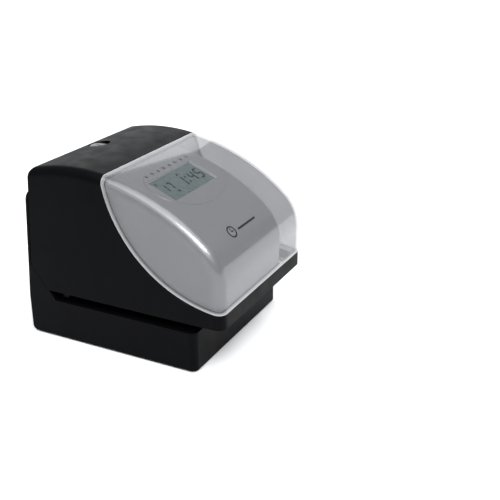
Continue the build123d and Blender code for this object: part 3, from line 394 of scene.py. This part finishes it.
# --- Mesh building -----------------------------------------------------------------------------
def add_piece(name, points, faces, material, body):
    mesh = bpy.data.meshes.new(name)
    mesh.from_pydata([tuple(point) for point in points], [], faces)
    mesh.validate()
    mesh.update()
    piece = bpy.data.objects.new(name, mesh)
    bpy.context.collection.objects.link(piece)
    piece.data.materials.append(material)
    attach(piece, body)
    return piece


def thin_prism(outline, lift, under):
    """Points and faces of one closed flat shape, from its outline's points and normals."""
    count = len(outline)
    points = [point + normal * lift for point, normal in outline]
    points += [point - normal * under for point, normal in outline]
    faces = [tuple(range(count)), tuple(reversed(range(count, 2 * count)))]
    for i in range(count):
        j = (i + 1) % count
        faces.append((i, i + count, j + count, j))
    return points, faces


def join_shapes(shapes):
    points, faces = [], []
    for shape_points, shape_faces in shapes:
        offset = len(points)
        points += shape_points
        faces += [tuple(index + offset for index in face) for face in shape_faces]
    return points, faces


# --- Display digits ----------------------------------------------------------------------------
SEGMENTS = {
    "1": "bc",
    "4": "bcfg",
    "5": "acdfg",
    "7": "abc",
}
SEGMENT_ENDS = {
    "a": ((0, 2), (1, 2)),
    "b": ((1, 2), (1, 1)),
    "c": ((1, 1), (1, 0)),
    "d": ((1, 0), (0, 0)),
    "f": ((0, 1), (0, 2)),
    "g": ((0, 1), (1, 1)),
}
SLANT = 0.17                              # how far a digit leans, as a share of its height
DIGIT_WIDTH = 0.46                        # as a share of its height
STROKE = 1.75 * MM
TIME_HEIGHT = 12.5 * MM
TIME_BASE = -6.0                          # places on the display are in millimetres from its middle
TIME_DIGITS = ((-2.0, "1"), (14.8, "4"), (25.4, "5"))
COLON_DOTS = ((9.4, -3.4), (10.4, 3.6))
DATE_HEIGHT = 9.2 * MM
DATE_BASE = -2.4
DATE_DIGITS = ((-27.0, "1"), (-18.4, "7"))
POINTERS = ((-27.0, 11.8), (6.4, 10.6))
DATE_DOT = (-14.5, -6.2)
INK_LIFT = 0.06 * MM


def segment_shape(start, end, width):
    """A bar with pointed ends between two places in the display's own plane."""
    along = (end - start).normalized()
    across = Vector((-along.y, along.x)) * width / 2
    gap = along * width * 0.05
    point = along * width / 2
    low, high = start + gap, end - gap
    shoulder_low, shoulder_high = low + point, high - point
    left = [low, shoulder_low + across, shoulder_high + across]
    return left + [high, shoulder_high - across, shoulder_low - across]


def digit_shapes(character, corner, height):
    """Bars of one digit whose lower left corner is at this place."""
    half = height / 2
    wide = height * DIGIT_WIDTH
    shapes = []
    for letter in SEGMENTS[character]:
        ends = [Vector((x * wide + y * half * SLANT, y * half)) + corner for x, y in SEGMENT_ENDS[letter]]
        shapes.append(segment_shape(ends[0], ends[1], STROKE))
    return shapes


def dot_shape(centre, size):
    return [centre + Vector((x, y)) * size / 2 for x, y in ((-1, -1), (1, -1), (1, 1), (-1, 1))]


def pointer_shape(centre, size):
    return [centre + Vector((x, y)) * size / 2 for x, y in ((-1, -1), (1, -1), (0, 1))]


def display_matrix():
    """The middle of the glass's upper face, local Y up its slope, worked out from the glass itself."""
    glass = NODES["lcd_glass"].data
    face = max(glass.polygons, key=lambda polygon: polygon.area * (polygon.normal.z > 0.5))
    normal = face.normal.copy()
    low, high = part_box("lcd_glass")
    centre = (Vector(low) + Vector(high)) / 2
    level = normal.dot(glass.vertices[face.vertices[0]].co)
    centre += normal * (level - normal.dot(centre))
    right = Vector((1, 0, 0))
    up = normal.cross(right)
    rotation = Matrix((right, up, normal)).transposed().to_4x4()
    return Matrix.Translation(centre) @ rotation


def make_display_digits():
    place = display_matrix()
    shapes = []
    for x, character in TIME_DIGITS:
        shapes += digit_shapes(character, Vector((x, TIME_BASE)) * MM, TIME_HEIGHT)
    for dot in COLON_DOTS:
        shapes.append(dot_shape(Vector(dot) * MM, 2.0 * MM))
    for x, character in DATE_DIGITS:
        shapes += digit_shapes(character, Vector((x, DATE_BASE)) * MM, DATE_HEIGHT)
    for pointer in POINTERS:
        shapes.append(pointer_shape(Vector(pointer) * MM, 3.6 * MM))
    shapes.append(dot_shape(Vector(DATE_DOT) * MM, 2.6 * MM))
    normal = place.to_3x3() @ Vector((0, 0, 1))
    prisms = []
    for shape in shapes:
        outline = [(place @ point.to_3d(), normal) for point in shape]
        prisms.append(thin_prism(outline, INK_LIFT, 0.02 * MM))
    points, faces = join_shapes(prisms)
    add_piece("display_digits", points, faces, SEGMENT_INK, "frame")


# --- Printing on the silver fascia ---------------------------------------------------------------
MARK_SHAPES = (
    ((-1, -1), (0, 1), (1, -1), (-1, -1)),
    ((-1, -1), (-1, 1), (1, 1), (1, -1), (-1, -1)),
)
MARK_COUNT = 8
MARK_HALF = 1.2 * MM
MARK_STROKE = 0.8 * MM
CLOCK_PLACE = (-29 * MM, -84 * MM)
CLOCK_RADIUS = 5.2 * MM
ABOVE_ALL = 200 * MM                      # a height from which anything on the machine is below
RIGHT = Vector((1, 0, 0))
DOWN = Vector((0, 0, -1))


def on_fascia(point, direction):
    """Where a line from this point meets the silver fascia, and the surface's normal there."""
    hit, place, normal, _ = NODES["fascia"].ray_cast(point, direction)
    if not hit:
        raise RuntimeError("a printed mark misses the fascia")
    return place, normal


def printed_stroke(path, width, right, up, centre):
    """A band of ink along a path drawn in a plane and laid on to the fascia under it."""
    normal = right.cross(up)
    prisms = []
    for start, end in zip(path, path[1:]):
        along = (end - start).normalized()
        across = Vector((-along.y, along.x)) * width / 2
        corners = (start - across, end - across, end + across, start + across)
        outline = []
        for corner in corners:
            above = centre + right * corner.x + up * corner.y + normal * 10 * MM
            outline.append(on_fascia(above, -normal))
        prisms.append(thin_prism(outline, 0.07 * MM, 0.03 * MM))
    return join_shapes(prisms)


def make_setting_marks():
    """A row of plain marks over the display, one for each thing that the buttons set."""
    low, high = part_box("lcd_glass")
    first = low[0] + 11 * MM
    last = high[0] + 1 * MM
    row_y = high[1] + 2.2 * MM
    strokes = []
    for i in range(MARK_COUNT):
        x = first + (last - first) * i / (MARK_COUNT - 1)
        centre, _ = on_fascia(Vector((x, row_y, ABOVE_ALL)), DOWN)
        path = [Vector(corner) * MARK_HALF for corner in MARK_SHAPES[i % 2]]
        strokes.append(printed_stroke(path, MARK_STROKE, RIGHT, Vector((0, 1, 0)), centre))
    points, faces = join_shapes(strokes)
    add_piece("setting_marks", points, faces, PAD_INK, "frame")


def make_clock_sign():
    """A plain clock sign, two hands in a ring, with a rule beside it, low on the front."""
    centre, normal = on_fascia(Vector((*CLOCK_PLACE, ABOVE_ALL)), DOWN)
    up = normal.cross(RIGHT).normalized()
    turns = 40
    angles = [2 * math.pi * i / turns for i in range(turns + 1)]
    ring = [Vector((math.cos(a), math.sin(a))) * CLOCK_RADIUS for a in angles]
    hands = [Vector(end) * CLOCK_RADIUS for end in ((0, 0.7), (0, 0), (0.55, 0))]
    rule = [Vector((x * MM, -1.2 * MM)) for x in range(10, 43, 8)]
    strokes = [printed_stroke(path, width * MM, RIGHT, up, centre)
               for path, width in ((ring, 1.5), (hands, 1.1), (rule, 2.0))]
    points, faces = join_shapes(strokes)
    add_piece("clock_sign", points, faces, PAD_INK, "frame")


# --- Painted highlight: pale sheets on the display recess walls ----------------------------------
WINDOW_HALF = (36.25 * MM, 15.65 * MM)
HIGHLIGHT_SHEET_THICKNESS = 0.12 * MM


def make_recess_highlight():
    """Painted highlight: pale sheets on the four walls between the glass and the fascia's surface, for the
    light they catch.
    """
    place = display_matrix()
    normal = place.to_3x3() @ Vector((0, 0, 1))
    x, y = WINDOW_HALF
    corners = [Vector((-x, -y)), Vector((x, -y)), Vector((x, y)), Vector((-x, y))]
    shapes = [wall_highlight_sheet(place, normal, start, end) for start, end in zip(corners, corners[1:] + corners[:1])]
    points, faces = join_shapes(shapes)
    add_piece("recess_highlight", points, faces, RECESS_HIGHLIGHT_PAINT, "frame")


def wall_highlight_sheet(place, normal, start, end):
    """One closed strip from start to end that reaches from the glass up to the fascia's surface."""
    steps = 12
    along = (end - start).normalized()
    inward = Vector((-along.y, along.x))
    points, faces = [], []
    for i in range(steps + 1):
        spot = start.lerp(end, i / steps)
        outside = place @ (spot - inward * 0.5 * MM).to_3d()
        surface, _ = on_fascia(outside + normal * 10 * MM, -normal)
        top = normal.dot(surface - outside) - 0.05 * MM
        near, far, foot = 0.01 * MM, HIGHLIGHT_SHEET_THICKNESS, 0.03 * MM
        for depth, height in ((near, foot), (far, foot), (far, top), (near, top)):
            corner = (spot + inward * depth).to_3d()
            corner.z = height
            points.append(place @ corner)
    for i in range(steps):
        for side in range(4):
            low, high = 4 * i + side, 4 * i + (side + 1) % 4
            faces.append((low, high, high + 4, low + 4))
    faces.append((3, 2, 1, 0))
    faces.append(tuple(4 * steps + side for side in range(4)))
    return points, faces


# --- Floor ---------------------------------------------------------------------------------------
def make_floor():
    half = 6.0
    steps = 12
    points = [(-half + 2 * half * i / steps, -half + 2 * half * j / steps, -0.0002)
              for j in range(steps + 1) for i in range(steps + 1)]
    faces = []
    for j in range(steps):
        for i in range(steps):
            corner = j * (steps + 1) + i
            faces.append((corner, corner + 1, corner + steps + 2, corner + steps + 1))
    mesh = bpy.data.meshes.new("floor")
    mesh.from_pydata(points, [], faces)
    floor = bpy.data.objects.new("floor", mesh)
    bpy.context.collection.objects.link(floor)
    floor.data.materials.append(studio_floor())


make_camera()
make_lights()
make_floor()
dress_cad_nodes()
make_display_digits()
make_recess_highlight()
make_setting_marks()
make_clock_sign()

bpy.context.view_layer.update()
